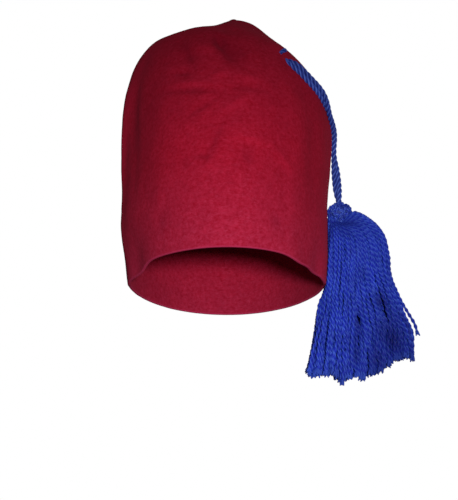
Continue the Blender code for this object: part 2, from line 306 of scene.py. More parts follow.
TUFT_SCALLOP = 0.0010  # how much lower the middle of a tuft hangs
END_SLOPE = 0.31  # the ends rise this much to the back, level as the hat is worn
END_SLOPE_MIDDLE = 0.010  # the y at which they have the table's height
END_SHIFT = 0.0013
END_WAVE = 0.0018
END_WAVE_CELLS = (110, 60)  # in a metre of x and of y
END_WAVE_ROW = 4.0
# The loose plies at a strand's end.
PLY_ENDS = 3
PLY_END_START = 0.0018  # how far up the strand they start
PLY_END_LENGTH = 0.0038
PLY_END_LENGTHS = (0.7, 1.25)
PLY_END_HANGING = 0.8  # share of it by which they hang below the strand
PLY_END_APART = 0.0007  # how far from the strand's line they start
PLY_END_SPREAD = 0.0011  # and how much further apart they end
PLY_END_RADIUS = 0.55  # against the strand's
PLY_END_TONE = 0.9
PLY_END_RINGS = 9
PLY_END_POINTS = 7
PLY_END_BLUNT = 0.0020

# The skirt's outline: height, left, right, front, back, and how much higher than its front its
# right side and back run.
SKIRT_RINGS = [
    (0.0505, 0.0850, 0.1010, -0.0030, 0.0100, 0.0095),
    (0.0502, 0.0825, 0.1078, -0.0085, 0.0165, 0.0125),
    (0.0477, 0.0815, 0.1142, -0.0130, 0.0230, 0.0126),
    (0.0435, 0.0805, 0.1208, -0.0158, 0.0275, 0.0122),
    (0.0385, 0.0798, 0.1270, -0.0172, 0.0305, 0.0112),
    (0.0320, 0.0790, 0.1324, -0.0182, 0.0325, 0.0075),
    (0.0220, 0.0785, 0.1346, -0.0185, 0.0345, 0.0015),
    (0.0090, 0.0780, 0.1350, -0.0185, 0.0360, 0),
    (-0.0090, 0.0750, 0.1393, -0.0185, 0.0370, 0),
    (-0.0260, 0.0730, 0.1452, -0.0185, 0.0380, 0),
    (-0.0420, 0.0708, 0.1518, -0.0185, 0.0390, 0.0010),
    (-0.0600, 0.0678, 0.1524, -0.0180, 0.0390, 0.0040),
    (-0.0800, 0.0645, 0.1525, -0.0160, 0.0370, 0.0080),
    (-0.1000, 0.0620, 0.1525, -0.0140, 0.0350, 0.0120),
]
LEFT_LIFT = 0.60  # of the lift at the side against the hat
# Where the strands are cut, as x and height, from the hat's side outwards.
SKIRT_ENDS = [
    (0.066, -0.0745), (0.078, -0.0765), (0.086, -0.0745), (0.092, -0.0812), (0.098, -0.0778),
    (0.105, -0.0752), (0.111, -0.0795), (0.116, -0.0752), (0.124, -0.0728), (0.131, -0.0658),
    (0.141, -0.0612), (0.153, -0.0605), (0.158, -0.0450),
]
# Places at the front where strands are pushed apart or lie in the shade of others.
Parting = namedtuple("Parting", "x height lean length width push shade")
PARTINGS = [Parting(*row) for row in [
    (0.1250, -0.0195, -25, 0.010, 0.0045, 0.0018, 0.9),
    (0.1055, -0.0370, 0, 0.011, 0.0030, 0.0014, 0.8),
    (0.1040, -0.0620, 5, 0.014, 0.0035, 0.0010, 0.7),
    (0.1330, -0.0500, -30, 0.018, 0.0110, 0.0008, 1.0),
    (0.1200, -0.0680, -10, 0.012, 0.0100, 0, 0.8),
    (0.1480, -0.0400, -20, 0.022, 0.0080, 0, 0.6),
    (0.0960, 0.0480, 90, 0.014, 0.0045, 0, 0.9),
    (0.0840, 0.0420, 0, 0.012, 0.0030, 0, 0.7),
    (0.0980, 0.0380, -30, 0.008, 0.0050, 0.0005, 0.4),
]]
PARTING_REACH = 0.3  # share of the skirt's depth in which strands are moved
PARTING_SHARPNESS = 3
SHADED_DEPTH = 0.004  # how far back a strand in full shade lies
STRAY_TONE = 0.7
# A single strand that hangs clear of the rest at the right.
STRAY_STRAND = [
    (0.1300, 0.0020, 0.0300), (0.1326, 0, 0.0170), (0.1346, -0.0010, 0.0040),
    (0.1381, -0.0015, -0.0060), (0.1424, -0.0020, -0.0165), (0.1480, -0.0020, -0.0268),
    (0.1524, -0.0010, -0.0345), (0.1546, 0, -0.0420),
]


# ---- tables and curves ----
def catmull_rom(before, start, end, after, t):
    """A value between start and end on the smooth curve through four values."""
    return 0.5 * (2 * start + (end - before) * t
                  + (2 * before - 5 * start + 4 * end - after) * t ** 2
                  + (3 * (start - end) + after - before) * t ** 3)


def smooth_table(rows, samples):
    """The rows of a table as an array with many smoothly interpolated rows."""
    values = np.array(rows, float)
    places = np.linspace(0, len(values) - 1, samples)
    start = np.minimum(places.astype(int), len(values) - 2)
    t = (places - start)[:, None]
    padded = np.vstack([2 * values[0] - values[1], values, 2 * values[-1] - values[-2]])
    return catmull_rom(padded[start], padded[start + 1], padded[start + 2], padded[start + 3], t)


def distances(points):
    """How far along a polyline each of its points lies."""
    steps = np.linalg.norm(np.diff(points, axis=0), axis=1)
    return np.concatenate([[0], np.cumsum(steps)])


def resample(points, spacing):
    """Evenly spaced points on a polyline, and how far along it each lies."""
    along = distances(points)
    count = max(2, round(along[-1] / spacing)) + 1
    wanted = np.linspace(0, along[-1], count)
    return np.stack([np.interp(wanted, along, points[:, i]) for i in range(3)], 1), wanted


def eased(line, passes):
    """A line with its corners eased out and its ends kept."""
    line = line.copy()
    for _ in range(passes):
        line[1:-1] = (line[:-2] + 2 * line[1:-1] + line[2:]) / 4
    return line


def unit(vectors):
    """Vectors scaled to length one."""
    return vectors / np.linalg.norm(vectors, axis=-1, keepdims=True)


def frames_along(points, side):
    """Tangents along a line and two directions square to them, the first nearest to side."""
    tangent = unit(np.gradient(points, axis=0))
    first = unit(side - (side * tangent).sum(1, keepdims=True) * tangent)
    return tangent, first, np.cross(tangent, first)


# ---- yarn ----
class Yarn:
    """Collects plied strands, to be joined in one mesh."""

    def __init__(self):
        self.points, self.faces, self.uvs = [], [], []
        self.grooves, self.tones, self.count = [], [], 0

    def add(self, line, side, radius, plies, pitch, tone_and_shade, points, hand=1, blunt=0.0016):
        """A strand of round plies twisted together along a line.

        The radius, the pitch and the tone, which also carries painted shade, are numbers, or arrays
        with a value for each point.
        Blunt is the length over which its end is rounded.
        """
        tangent, first, second = frames_along(line, side)
        rings, along = len(line), distances(line)
        around = np.arange(points) / points
        lobe = (around * plies) % 1 - 0.5 if plies > 1 else np.zeros(points)
        reach, groove = ply_outline(lobe * tau / plies, plies)
        size = np.full(rings, radius) if np.isscalar(radius) else radius
        full = np.clip((along[-1] - along) / blunt, 0, 1)
        size = size * np.sqrt(BLUNT_SHARE + (1 - BLUNT_SHARE) * full)
        steps = np.diff(along, prepend=0)
        twist = hand * tau * np.cumsum(steps / pitch)
        angle = tau * around[None] + twist[:, None]
        ring = (first[:, None] * np.cos(angle)[..., None]
                + second[:, None] * np.sin(angle)[..., None])
        shell = line[:, None] + ring * (size[:, None] * reach[None])[..., None]
        tips = [line[0] - tangent[0] * size[0] * START_TIP,
                line[-1] + tangent[-1] * size[-1] * END_TIP]
        tones = np.full(rings, tone_and_shade) if np.isscalar(tone_and_shade) else tone_and_shade
        self.points.append(np.vstack([shell.reshape(-1, 3), tips]))
        self.grooves.append(np.concatenate([np.tile(groove, rings), [TIP_GROOVE] * 2]))
        self.tones.append(np.concatenate([np.repeat(tones, points), [tones[0], tones[-1]]]))
        u = np.concatenate([np.tile(around, rings), [0, 0]])
        v = np.concatenate([np.repeat(along, points), [0, along[-1]]])
        self.uvs.append(np.stack([u, v], 1))
        self.faces += tube_faces(rings, points, self.count)
        self.count += rings * points + 2

    def build(self, name, finish):
        """The collected strands as one object."""
        mesh = bpy.data.meshes.new(name)
        mesh.from_pydata(np.vstack(self.points).tolist(), [], self.faces)
        mesh.shade_smooth()
        add_attribute(mesh, "groove", np.concatenate(self.grooves))
        add_attribute(mesh, "tone_and_shade", np.concatenate(self.tones))
        corners = np.zeros(len(mesh.loops), np.int32)
        mesh.loops.foreach_get("vertex_index", corners)
        layer = mesh.uv_layers.new(name="yarn")
        layer.data.foreach_set("uv", np.vstack(self.uvs)[corners].astype(np.float32).ravel())
        return add_object(name, mesh, finish)


def ply_outline(angle, plies):
    """The outline of plies around a centre, for a strand of radius 1, and its grooves' depth."""
    if plies == 1:
        return np.ones(len(angle)), np.full(len(angle), LONE_PLY_GROOVE)
    spread = 1 / (1 + sin(pi / plies) * PLY_FULLNESS)
    ply = 1 - spread
    reach = spread * np.cos(angle) + np.sqrt(np.maximum(ply ** 2 - (spread * np.sin(angle)) ** 2, 0))
    reach = np.maximum(reach, GROOVE_BOTTOM)
    return reach, (1 - reach) / (1 - reach.min())


def ring_faces(rings, points, first=0):
    """The faces between closed rings of points whose indexes start at first."""
    faces = []
    for i in range(rings - 1):
        a = first + i * points
        for j in range(points):
            k = (j + 1) % points
            faces.append((a + j, a + k, a + points + k, a + points + j))
    return faces


def tube_faces(rings, points, first):
    """The faces of a tube whose rings start at index first, with a fan to a tip at each end."""
    faces = ring_faces(rings, points, first)
    start, end = first + rings * points, first + rings * points + 1
    last = first + (rings - 1) * points
    for j in range(points):
        k = (j + 1) % points
        faces.append((first + k, first + j, start))
        faces.append((last + j, last + k, end))
    return faces


def add_attribute(mesh, name, values):
    """A number stored at each point of a mesh."""
    attribute = mesh.attributes.new(name, "FLOAT", "POINT")
    attribute.data.foreach_set("value", np.asarray(values, np.float32))


def in_scene(name, data):
    """A mesh, a lamp or a camera as an object in the scene."""
    item = bpy.data.objects.new(name, data)
    bpy.context.scene.collection.objects.link(item)
    return item


def add_object(name, mesh, finish):
    """A piece of the hat, riding on its one body."""
    piece = in_scene(name, mesh)
    mesh.materials.append(finish)
    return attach(piece, "root")


# ---- making the camera, the light and the floor ----
def towards_camera(turn=0.0, lift=0.0):
    """The direction from the hat to the camera, or degrees to its right and above it."""
    elevation = radians(CAMERA_ELEVATION + lift)
    azimuth = radians(turn)
    return Vector((sin(azimuth) * cos(elevation), -cos(azimuth) * cos(elevation), sin(elevation)))


def make_camera():
    data = bpy.data.cameras.new("camera")
    data.sensor_width = SENSOR_MM
    data.lens = SENSOR_MM * CAMERA_DISTANCE / (METRES_PER_PIXEL * FRAME_PIXELS_HIGH)
    data.clip_end = FURTHEST_SEEN
    camera = in_scene("camera", data)
    camera.location = CAMERA_AIM + towards_camera() * CAMERA_DISTANCE
    camera.rotation_euler = (-towards_camera()).to_track_quat("-Z", "Y").to_euler()
    bpy.context.scene.camera = camera


def add_light(name, kind, place, aim, power):
    data = bpy.data.lights.new(name, kind)
    data.energy = power
    light = in_scene(name, data)
    light.location = place
    light.rotation_euler = (aim - place).to_track_quat("-Z", "Y").to_euler()
    return data


def make_light():
    """A soft lamp beside the lens, as in the photograph, a weak fill, and one lamp behind.

    The front lamp's beam is narrow and centred low, so that the crown darkens upwards.
    """
    to_lamp = towards_camera(*FRONT_LAMP_TURNS) * FRONT_LAMP_DISTANCE
    beam = add_light("front", "SPOT", LIGHT_CENTRE + to_lamp, FRONT_LAMP_AIM, FRONT_LAMP_POWER)
    beam.spot_size = radians(FRONT_LAMP_BEAM)
    beam.spot_blend = 1.0
    beam.shadow_soft_size = FRONT_LAMP_RADIUS
    place = LIGHT_CENTRE - towards_camera() * BACK_LAMP_DISTANCE
    behind = add_light("behind", "AREA", place, LIGHT_CENTRE, BACK_LAMP_POWER)
    behind.size = BACK_LAMP_SIZE
    world = bpy.data.worlds.new("studio")
    world.use_nodes = True
    nodes, links = world.node_tree.nodes, world.node_tree.links
    ground = nodes["Background"]
    ground.inputs["Color"].default_value = (1, 1, 1, 1)
    seen = nodes.new("ShaderNodeLightPath")
    strength = nodes.new("ShaderNodeMapRange")
    strength.inputs["To Min"].default_value = FILL_STRENGTH
    strength.inputs["To Max"].default_value = 1.0
    links.new(seen.outputs["Is Camera Ray"], strength.inputs["Value"])
    links.new(strength.outputs["Result"], ground.inputs["Strength"])
    bpy.context.scene.world = world
    bpy.context.scene.view_settings.view_transform = "Standard"


def make_floor():
    """A plain pale floor, below the camera."""
    mesh = bpy.data.meshes.new("floor")
    signs = [(-1, -1), (1, -1), (1, 1), (-1, 1)]
    corners = [(FLOOR_HALF_SIZE * i, FLOOR_HALF_SIZE * j, FLOOR_HEIGHT) for i, j in signs]
    mesh.from_pydata(corners, [], [(0, 1, 2, 3)])
    floor = in_scene("floor", mesh)
    pale = bpy.data.materials.new("pale floor")
    pale.use_nodes = True
    shader = pale.node_tree.nodes["Principled BSDF"]
    shader.inputs["Base Color"].default_value = (0.86, 0.86, 0.85, 1)
    shader.inputs["Roughness"].default_value = 0.9
    mesh.materials.append(pale)


# ---- materials ----
class Nodes:
    """Short names for building a material's nodes."""

    def __init__(self, name):
        self.material = bpy.data.materials.new(name)
        self.material.use_nodes = True
        self.tree = self.material.node_tree
        self.shader = self.tree.nodes["Principled BSDF"]

    def new(self, kind, **values):
        node = self.tree.nodes.new("ShaderNode" + kind)
        for key, value in values.items():
            name = key.replace("_", " ")
            if name in node.inputs:
                self.put(node.inputs[name], value)
            else:
                setattr(node, key, value)
        return node

    def put(self, socket, value):
        if isinstance(value, bpy.types.NodeSocket):
            self.tree.links.new(value, socket)
        else:
            socket.default_value = value

    def math(self, operation, first, second):
        node = self.new("Math", operation=operation)
        self.put(node.inputs[0], first)
        self.put(node.inputs[1], second)
        return node.outputs[0]

    def mix(self, share, first, second, blend="MIX"):
        node = self.new("Mix", data_type="RGBA", blend_type=blend)
        self.put(node.inputs["Factor"], share)
        self.put(node.inputs[6], first)
        self.put(node.inputs[7], second)
        return node.outputs[2]

    def stretch(self, value, low, high, to_low, to_high):
        node = self.new("MapRange")
        for place, item in enumerate((value, low, high, to_low, to_high)):
            self.put(node.inputs[place], item)
        return node.outputs[0]

    def stored(self, name):
        return self.new("Attribute", attribute_name=name).outputs["Fac"]

    def speckle(self, place, scale, **values):
        values = {"Detail": 3.0, "Roughness": 0.6, **values}
        return self.new("TexNoise", Vector=place, Scale=scale, **values).outputs[0]

    def finish(self, colour, bump, **values):
        """The shader's colour, bump and uniform values."""
        self.put(self.shader.inputs["Base Color"], colour)
        self.put(self.shader.inputs["Normal"], bump)
        for key, value in values.items():
            self.shader.inputs[key.replace("_", " ")].default_value = value
        return self.material


def felt_material():
    """Pressed wool: a mat of short fibres, a little mottled, with a soft nap, and painted shade,
    highlights and glare.
    """
    n = Nodes("crimson felt")
    place = n.new("TexCoord").outputs["Object"]
    streaks = []
    for turn, seed in ((0.4, 3.0), (1.5, 7.0), (2.6, 11.0)):
        turned = n.new("Mapping", Vector=place, Rotation=(turn, turn * 0.7, turn * 1.3),
                       Location=(seed, seed, seed), Scale=(200, 1100, 700))
        streaks.append(n.speckle(turned.outputs[0], 1.0, Distortion=0.9))
    fibres = n.math("MAXIMUM", streaks[0], n.math("MAXIMUM", streaks[1], streaks[2]))
    grain = n.speckle(place, 380.0)
    patch = n.speckle(place, 150.0)
    cloud = n.speckle(place, 34.0, Roughness=0.5)
    colour = n.mix(n.stretch(grain, 0.28, 0.72, 0.0, 1.0), FELT_DARK, FELT_LIGHT)
    colour = n.mix(n.stretch(fibres, 0.55, 0.80, 0.0, 0.5), colour, FELT_FIBRE)
    for blotches in (patch, cloud):
        colour = n.mix(n.stretch(blotches, 0.3, 0.7, 0.20, 0.0), colour, FELT_BLOTCH)
    pressed = n.stored("pressed")
    # painted shade where folds press the felt in, and a painted highlight where rolls stand out
    colour = n.mix(n.stretch(pressed, 0.0, 1.0, 0.0, 0.45), colour, FELT_CREASE_SHADE)
    colour = n.mix(n.stretch(pressed, 0.0, -1.0, 0.0, 0.25), colour, FELT_ROLL_HIGHLIGHT)
    # painted flash glare: pinker towards the rim
    height = n.new("SeparateXYZ", Vector=place).outputs[2]
    low = n.stretch(height, FELT_GLARE_HEIGHT, 0.0, 0.0, 1.0)
    colour = n.mix(low, colour, FELT_GLARE_TINT, "MULTIPLY")
    # the cut edge: its own paler colour and a painted highlight
    colour = n.mix(n.math("MULTIPLY", n.stored("cut_edge"), 0.5), colour, FELT_CUT_EDGE_AND_HIGHLIGHT)
    rise = n.math("ADD", n.math("MULTIPLY", grain, 0.6), n.math("MULTIPLY", fibres, 0.6))
    bump = n.new("Bump", Strength=0.7, Distance=0.0006, Height=rise)
    return n.finish(colour, bump.outputs[0], Roughness=0.95, Specular_IOR_Level=0.04,
                    Sheen_Weight=0.12, Sheen_Roughness=0.5, Sheen_Tint=(1.0, 0.08, 0.16, 1))


def yarn_material(name, groove_shade, lit, seed, hollow):
    """Plied yarn: fine fibres along each ply, with painted shade in the grooves between plies.

    The colour given for the grooves is painted shade, and lit is the one on the plies.  The lower
    the value of hollow, the wider the grooves of painted shade.
    """
    n = Nodes(name)
    place = n.new("UVMap", uv_map="yarn").outputs[0]
    across, along = n.new("SeparateXYZ", Vector=place).outputs[:2]
    skewed = n.math("ADD", n.math("MULTIPLY", across, 40.0), n.math("MULTIPLY", along, 1500.0))
    cell = n.new("CombineXYZ", X=skewed, Y=n.math("MULTIPLY", along, 330.0), Z=seed)
    fibres = n.speckle(cell.outputs[0], 1.0)
    groove, tone_and_shade = n.stored("groove"), n.stored("tone_and_shade")
    where = n.new("TexCoord").outputs["Object"]
    patch = n.speckle(where, 240.0, Detail=2.0, Roughness=0.5)
    cloud = n.speckle(where, 70.0, Detail=2.0, Roughness=0.5)
    # painted light and shade across each ply, darkest in its grooves
    light = n.math("SUBTRACT", 1.0, n.math("MULTIPLY", n.math("POWER", groove, hollow), 0.95))
    light = n.math("MULTIPLY", light, n.stretch(fibres, 0.25, 0.75, 0.50, 1.3))
    light = n.math("MULTIPLY", light, n.stretch(patch, 0.3, 0.7, 0.85, 1.14))
    # painted shade: the tone attribute darkens inner and parted strands and the head's core
    shade = n.math("MULTIPLY", tone_and_shade, n.stretch(cloud, 0.32, 0.68, 0.75, 1.15))
    painted_shade = n.stretch(shade, 0.0, 1.0, 0.14, 1.0)
    # the painted shade darkens blue less than red and green, so shaded yarn stays bluer
    tint = n.new("CombineXYZ", X=painted_shade, Y=painted_shade, Z=n.stretch(shade, 0.0, 1.0, 0.3, 1.0)).outputs[0]
    colour = n.mix(1.0, n.mix(light, groove_shade, lit), tint, "MULTIPLY")
    bump = n.new("Bump", Strength=0.7, Distance=0.00022, Height=fibres)
    return n.finish(colour, bump.outputs[0], Roughness=0.6,
                    Specular_IOR_Level=0.20, Sheen_Weight=0.45, Sheen_Roughness=0.5,
                    Sheen_Tint=(0.05, 0.12, 1.0, 1))


# ---- making the felt ----
def tree_of(node):
    """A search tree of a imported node's surface."""
    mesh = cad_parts[node].data
    return BVHTree.FromPolygons([v.co for v in mesh.vertices], [p.vertices for p in mesh.polygons])


def cast_inward(felt, pivot, turn, rise):
    """The felt's outer face in one direction from the pivot."""
    for nudge in (0, RAY_NUDGE, -RAY_NUDGE):
        out = Vector((cos(turn + nudge) * cos(rise), sin(turn + nudge) * cos(rise), sin(rise)))
        hit = felt.ray_cast(pivot + out * CAST_REACH, -out)[0]
        if hit is not None and (hit - pivot).dot(out) > 0:
            return hit
    raise ValueError(f"no felt at {turn:.3f}, {rise:.3f}")


def felt_grid(felt, peak):
    """Rings of points on the felt's outer face, from just above the rim to the peak."""
    start = FELT_THICKNESS / 2
    heights = [(start + (DOME_HEIGHT - start) * i / WALL_ROWS, 0.0) for i in range(WALL_ROWS)]
    heights += [(DOME_HEIGHT, pi / 2 * i / DOME_ROWS) for i in range(DOME_ROWS)]
    steps = [tau * i / COLUMNS for i in range(COLUMNS)]
    turns = [step - FRONT_CLOSENESS * sin(step) - pi / 2 for step in steps]
    grid = np.zeros((len(heights), COLUMNS, 3))
    for row, (height, rise) in enumerate(heights):
        pivot = Vector((peak.x, peak.y, height))
        for column, turn in enumerate(turns):
            grid[row, column] = cast_inward(felt, pivot, turn, rise)
    return grid


def smoothed(grid):
    """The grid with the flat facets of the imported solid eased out, its rim left level."""
    for _ in range(SMOOTHING_PASSES):
        around = (np.roll(grid, 1, 1) + np.roll(grid, -1, 1)) / 2
        above = grid.copy()
        above[1:-1] = (grid[:-2] + grid[2:]) / 2
        softer = (grid * 2 + around + above) / 4
        softer[0] = (grid[0] + around[0]) / 2
        grid = softer
    return grid


def grid_normals(grid):
    """Outward normals at the points of a grid of rings."""
    around = np.roll(grid, -1, 1) - np.roll(grid, 1, 1)
    upward = np.gradient(grid, axis=0)
    return unit(np.cross(around, upward))


def creases(grid, normals):
    """How deep the felt is pressed in at each point by the table of creases."""
    pressed = np.zeros(grid.shape[:2])
    in_front = normals[..., 1] < FACES_FRONT
    for crease in CREASES:
        miss = np.abs(grid[..., 0] - crease.x) + np.abs(grid[..., 2] - crease.height) + ~in_front
        centre = np.unravel_index(miss.argmin(), miss.shape)
        normal = normals[centre]
        level = unit(np.cross((0, 0, 1), normal))
        upright = np.cross(normal, level)
        lean = radians(crease.lean)
        length = upright * cos(lean) + level * sin(lean)
        width = upright * sin(lean) - level * cos(lean)
        offset = grid - grid[centre]
        run = np.abs(offset @ length / crease.length)
        side = np.abs(offset @ width / crease.width)
        off = offset @ normal / CREASE_REACH
        pressed += crease.depth * np.exp(-run ** 2 - side ** crease.sharpness - off ** 2)
    return pressed


def felt_waves(grid):
    """How far the felt stands out of its smooth form."""
    waves = np.zeros(grid.shape[:2])
    for place in np.ndindex(*waves.shape):
        point = Vector(grid[place])
        waves[place] = sum(size * noise.noise(point * cells + Vector((0, 0, shift)))
                           for size, cells, shift in WAVES)
    return waves


def rim_rows(outside, inside):
    """Rings around the cut edge of the felt, from its outer face to its inner face."""
    middle, half = (outside + inside) / 2, (outside - inside) / 2
    rows = []
    for i in range(1, RIM_ROWS):
        turn = pi * i / RIM_ROWS
        across = np.sign(cos(turn)) * abs(cos(turn)) ** (2 / RIM_SQUARENESS)
        ring = middle + half * across
        ring[:, 2] -= FELT_THICKNESS / 2 * sin(turn) ** (2 / RIM_SQUARENESS)
        rows.append(ring)
    return rows


def felt_surface():
    """The felt's outer face as rings of points, and how deep each point is pressed in."""
    points = [v.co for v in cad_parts["crown"].data.vertices]
    peak = max(points, key=lambda p: p.z)
    grid = smoothed(felt_grid(tree_of("crown"), peak))
    normals = grid_normals(grid)
    pressed = creases(grid, normals)
    outer = grid + normals * (felt_waves(grid) - pressed)[..., None]
    outer[0, :, 2] = FELT_THICKNESS / 2
    for dip in RIM_DIPS:
        away = np.hypot(outer[..., 0] - dip.x, outer[..., 1] - dip.y) / dip.reach
        outer[..., 2] -= dip.depth * np.exp(-away ** 2 - outer[..., 2] / DIP_HEIGHT)
    return outer, pressed


def tree_of_rings(rings):
    """A search tree of the surface through rings of points."""
    faces = ring_faces(len(rings), rings.shape[1])
    return BVHTree.FromPolygons(rings.reshape(-1, 3).tolist(), faces)


def make_crown(outer, pressed, finish):
    """The felt as one closed shell: its outer face, its cut edge and its inner face."""
    inner = outer - grid_normals(outer) * FELT_THICKNESS
    inner[0, :, 2] = outer[0, :, 2]
    inner = inner[::INNER_ROW_STEP]
    rows = list(outer[::-1]) + rim_rows(outer[0], inner[0]) + list(inner)
    tips = [face[-1].mean(0) + (0, 0, TIP_RISE) for face in (outer, inner)]
    faces = [(a, d, c, b) for a, b, c, d in ring_faces(len(rows), COLUMNS)]
    tip = len(rows) * COLUMNS
    last = tip - COLUMNS
    for j in range(COLUMNS):
        k = (j + 1) % COLUMNS
        faces.append((j, k, tip))
        faces.append((last + k, last + j, tip + 1))
    mesh = bpy.data.meshes.new("felt_crown")
    mesh.from_pydata(np.vstack(rows + [tips]).tolist(), [], faces)
    mesh.shade_smooth()
    shade = np.zeros(len(mesh.vertices))
    rim = outer.shape[0] * COLUMNS
    shade[:rim] = np.clip(pressed[::-1].ravel() / FULLY_PRESSED, -1, 1)
    add_attribute(mesh, "pressed", shade)
    edge = np.zeros(len(mesh.vertices))
    edge[rim:rim + (RIM_ROWS - 1) * COLUMNS] = 1
    add_attribute(mesh, "cut_edge", edge)
    crown = add_object("felt_crown", mesh, finish)
    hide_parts("crown")


# ---- making the cord ----
def make_cord(felt, finish):
    """Two strands, each of three plies, that wind loosely around one another."""
    route = smooth_table(CORD_ROUTE + CORD_INSIDE, CORD_SAMPLES)
    line, along = resample(route, CORD_RING_SPACING)
    shown = along[np.argmin(np.abs(line[:, 2] - CORD_ROUTE[-1][2]))]
    shares, degrees = zip(*CORD_TURNS)
    turn = np.interp(along / shown, shares, [radians(angle) for angle in degrees])
    for _ in range(CORD_EASING):
        turn[1:-1] = (turn[:-2] + turn[2:]) / 2
    tangent = unit(np.gradient(line, axis=0))
    side = unit(np.cross(tangent, np.array(towards_camera())))
    apart = side * np.cos(turn)[:, None] + np.cross(tangent, side) * np.sin(turn)[:, None]
    line = rest_on_felt(line, apart, felt)
    opening = np.clip(along / CORD_OPENING, 0, 1) ** CORD_OPENING_CURVE
    apart = apart * (CORD_STRAND_OFFSET * (CORD_CLOSED + (1 - CORD_CLOSED) * opening))[:, None]
    yarn = Yarn()
    for sign, tone_and_shade in zip((1, -1), CORD_TONES):
        strand, reached = resample(line + apart * sign, CORD_RING_SPACING)
        share = np.clip(CORD_THIN_START + reached / CORD_THICKENS_OVER, CORD_THIN_START, 1.0)
        yarn.add(strand, CORD_SIDE, CORD_STRAND_RADIUS * share, CORD_PLIES, CORD_PITCH, tone_and_shade,
                 points=CORD_POINTS)
    rope = yarn.build("twisted_cord", finish)
    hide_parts("tassel_cord")
    return rope, line[::CORD_PATH_STEP]


def rest_on_felt(line, apart, felt):
    """The cord's line moved so that its strands lie on the felt, and dip into it at the start."""
    shifts = np.zeros_like(line)
    for i, point in enumerate(line):
        if point[2] < CORD_LEAVES_FELT:
            break
        place, outward, _, _ = felt.find_nearest(Vector(point))
        wanted = CORD_STRAND_RADIUS - CORD_PRESSED_IN
        wanted += CORD_STRAND_OFFSET * abs(Vector(apart[i]).dot(outward))
        rise = min(1.0, i * CORD_RING_SPACING / CORD_OPENING)
        wanted -= (wanted + SUNK_END) * (1 - rise) ** 2
        shifts[i] = np.array(outward) * (wanted - (Vector(point) - place).dot(outward))
    free = np.arange(len(line) - i) * CORD_RING_SPACING
    shifts[i:] = shifts[i - 1] * np.exp(-(free / CORD_FREES_OVER) ** 2)[:, None]
    return line + eased(shifts, CORD_EASING)


def make_stitch(felt, finish):
    """One short arch of yarn, from the felt into the felt."""
    line, along = resample(smooth_table(STITCH_ROUTE, ROUTE_SAMPLES), CORD_RING_SPACING)
    for i, share in enumerate(along / along[-1]):
        place, outward, _, _ = felt.find_nearest(Vector(line[i]))
        line[i] = place + outward * (STITCH_RISE * sin(pi * share) - SUNK_END)
    yarn = Yarn()
    yarn.add(line, STITCH_SIDE, STITCH_RADIUS, CORD_PLIES, STITCH_PITCH, STITCH_TONE,
             points=CORD_POINTS)
    stitch = yarn.build("stitch", finish)
    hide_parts("cord_stitch")
    return stitch


# ---- making the tassel ----
def make_head(finish):
    """A ball of yarn: short curls looped all over a plain core."""
    low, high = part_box("tassel_head")
    low = low - Vector((HEAD_REACH_ASIDE, 0, HEAD_REACH_DOWN))
    centre = np.array((low + high) / 2)
    half = np.array((high - low) / 2)
    chance = random.Random(HEAD_SEED)
    yarn = Yarn()
    core = half - CURL_YARN_RADIUS * 2
    heights = np.linspace(-CORE_END, CORE_END, CORE_RINGS)
    stem = centre + np.outer(heights, (0, 0, core[2]))
    yarn.add(stem, np.array((1.0, 0, 0)), core[0] * np.sqrt(1 - heights ** 2), 1, 1.0, CORE_SHADE,
             points=CORE_POINTS)
    for i in range(CURLS):
        up = 1 - 2 * (i + 0.5) / CURLS
        turn = i * pi * (3 - sqrt(5)) + chance.uniform(-CURL_SHIFT, CURL_SHIFT)
        flat = sqrt(1 - up * up)
        ball = np.array((cos(turn) * flat, sin(turn) * flat, up))
        place = centre + ball * (half - CURL_YARN_RADIUS)
        normal = unit(ball / half)
        first = unit(np.cross(normal, (chance.uniform(-1, 1), chance.uniform(-1, 1), 0.7)))
        second = np.cross(normal, first)
        size = CURL_RADIUS * chance.uniform(*CURL_SIZES)
        sweep = np.linspace(0, radians(chance.uniform(*CURL_SWEEPS)), CURL_RINGS)
        dip = CURL_DIP * (np.cos(sweep * CURL_DIP_PACE + chance.uniform(0, 6)) - CURL_DIP_SUNK)
        line = (place + np.outer(np.cos(sweep) * size, first)
                + np.outer(np.sin(sweep) * size * CURL_OVAL, second) + np.outer(dip, normal))
        sink = np.linalg.norm((line - centre) / (half - CURL_YARN_RADIUS), axis=1, keepdims=True)
        line = centre + (line - centre) / np.maximum(sink, 1)
        yarn.add(line, normal, CURL_YARN_RADIUS * chance.uniform(*CURL_YARN_SIZES), 2, CURL_PITCH,
                 chance.uniform(*CURL_TONES), points=CURL_POINTS, hand=-1, blunt=CURL_BLUNT)
    head = yarn.build("knotted_head", finish)
    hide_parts("tassel_head")
    return head


def strand_seats(chance):
    """Where each strand lies in the skirt's cross-section, as an angle and how far out."""
    seats = []
    for share, count in LAYERS:
        for i in range(count):
            angle = tau * (i + SEAT_SHIFT * chance.random()) / count
            seats.append((angle, share * (1 - SEAT_SINK * chance.random())))
    return seats


def wander(x, y, tone_and_shade, height, free, angle, column):
    """Moves a strand's points: on its own, in small kinks and together with its neighbours."""
    group = Vector((cos(angle) * SHARED_SPREAD, sin(angle) * SHARED_SPREAD, 0))
    for i, level in enumerate(height):
        own = noise.noise_vector(Vector((column, OWN.row, level * OWN.cells)))
        kinks = noise.noise_vector(Vector((column, KINKS.row, level * KINKS.cells)))
        place = Vector((SHARED_COLUMN, SHARED.row, level * SHARED.cells))
        shared = noise.noise_vector(group + place)
        x[i] += (own.x * OWN.aside + kinks.x * KINKS.aside + shared.x * SHARED.aside) * free[i]
        y[i] += (own.y * OWN.depth + kinks.y * KINKS.depth + shared.y * SHARED.depth) * free[i]
        tone_and_shade[i] *= 1 + TONE_WANDER * own.z


def end_height(x):
    """The height at which the table of ends has strands cut."""
    return np.interp(x, *zip(*SKIRT_ENDS))


